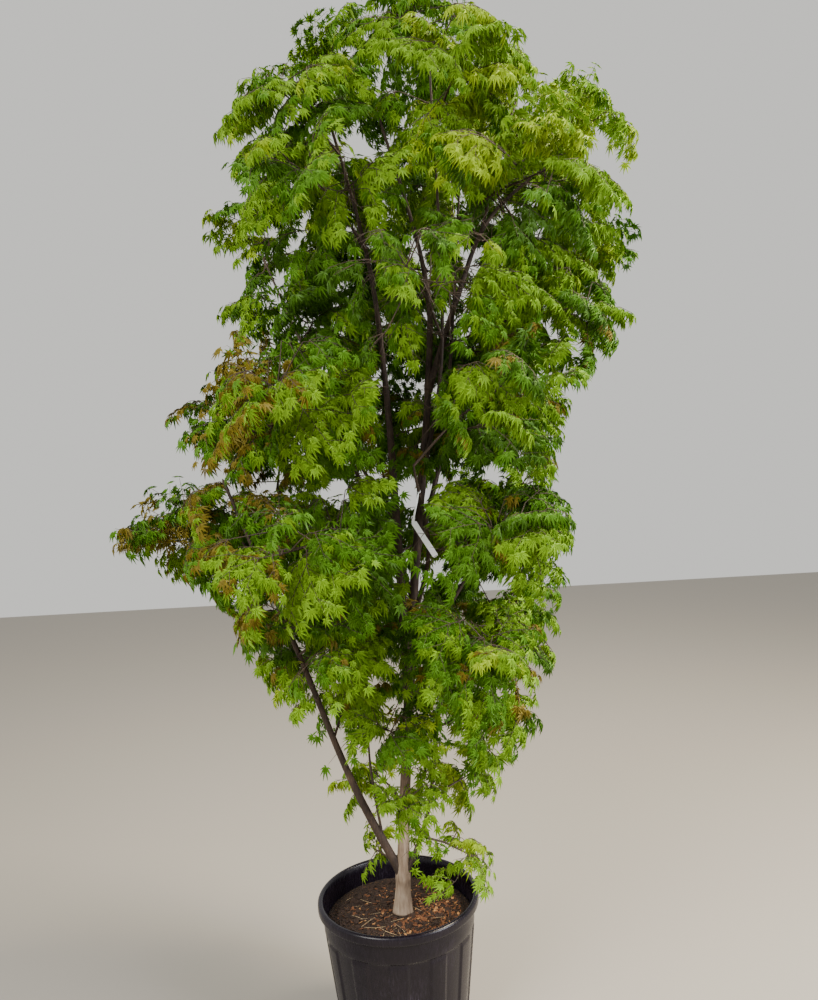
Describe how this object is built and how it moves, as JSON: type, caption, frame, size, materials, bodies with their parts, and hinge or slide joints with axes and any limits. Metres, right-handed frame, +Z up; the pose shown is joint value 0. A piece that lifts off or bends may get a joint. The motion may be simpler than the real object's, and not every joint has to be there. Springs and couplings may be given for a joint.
{
  "type": "potted japanese maple",
  "caption": "Young multi-stemmed Japanese maple with layered palmate foliage, growing in a ribbed plastic nursery pot filled with soil.",
  "frame": {"origin": "middle of the pot's flat underside", "axes": "+Z up along the trunk, and the side seen in the picture faces -Y"},
  "size_m": [1.611, 1.2323, 2.8768],
  "materials": {
    "pot": "scuffed, dull sheen",
    "soil": "loose damp bark compost",
    "bark": "smooth grey-brown bark",
    "young_bark": "dark brown young bark",
    "leaf_green": "soft green leaf",
    "leaf_deep_green": "deep green leaf",
    "leaf_light_green": "light green leaf"
  },
  "bodies": {
    "root": {"nursery_pot": "pot", "potting_soil": "soil", "trunk": "bark", "leader_left": "young_bark", "leader_back": "young_bark", "bough_right": "young_bark", "bough_right_top": "young_bark", "bough_left_low": "young_bark", "bough_left_mid": "young_bark", "bough_left_back": "young_bark", "bough_right_mid": "young_bark", "bough_front": "young_bark", "bough_back": "young_bark", "bough_left_rear": "young_bark", "leader_front": "young_bark", "shoot_left_low": "young_bark", "shoot_right_low": "young_bark", "foliage_tip_back_right": "leaf_green", "foliage_tip_back_left": "leaf_deep_green", "foliage_tip_front": "leaf_light_green", "foliage_top_right": "leaf_green", "foliage_top_back": "leaf_deep_green", "foliage_top_back_left": "leaf_light_green", "foliage_top_front_left": "leaf_green", "foliage_top_front": "leaf_deep_green", "foliage_upper_right": "leaf_light_green", "foliage_upper_back": "leaf_green", "foliage_upper_left": "leaf_deep_green", "foliage_upper_front_left": "leaf_light_green", "foliage_upper_front_right": "leaf_green", "foliage_shoulder_right": "leaf_deep_green", "foliage_shoulder_back_right": "leaf_light_green", "foliage_shoulder_back_left": "leaf_green", "foliage_shoulder_front_left": "leaf_deep_green", "foliage_shoulder_front": "leaf_light_green", "foliage_middle_right": "leaf_green", "foliage_middle_back": "leaf_deep_green", "foliage_middle_left": "leaf_light_green", "foliage_middle_front_left": "leaf_green", "foliage_middle_front_right": "leaf_deep_green", "foliage_waist_right": "leaf_light_green", "foliage_waist_back_right": "leaf_green", "foliage_waist_back_left": "leaf_deep_green", "foliage_waist_left": "leaf_light_green", "foliage_waist_front_left": "leaf_green", "foliage_waist_front_right": "leaf_deep_green", "foliage_lower_right": "leaf_light_green", "foliage_lower_back": "leaf_green", "foliage_lower_back_left": "leaf_deep_green", "foliage_lower_front_left": "leaf_light_green", "foliage_lower_front_right": "leaf_green", "foliage_skirt_right": "leaf_deep_green", "foliage_skirt_back": "leaf_light_green", "foliage_skirt_left": "leaf_green", "foliage_skirt_front": "leaf_deep_green", "foliage_hem_right": "leaf_light_green", "foliage_hem_back_left": "leaf_green", "foliage_hem_front": "leaf_deep_green", "foliage_foot_right": "leaf_light_green", "foliage_foot_left": "leaf_green"}
  },
  "joints": []
}
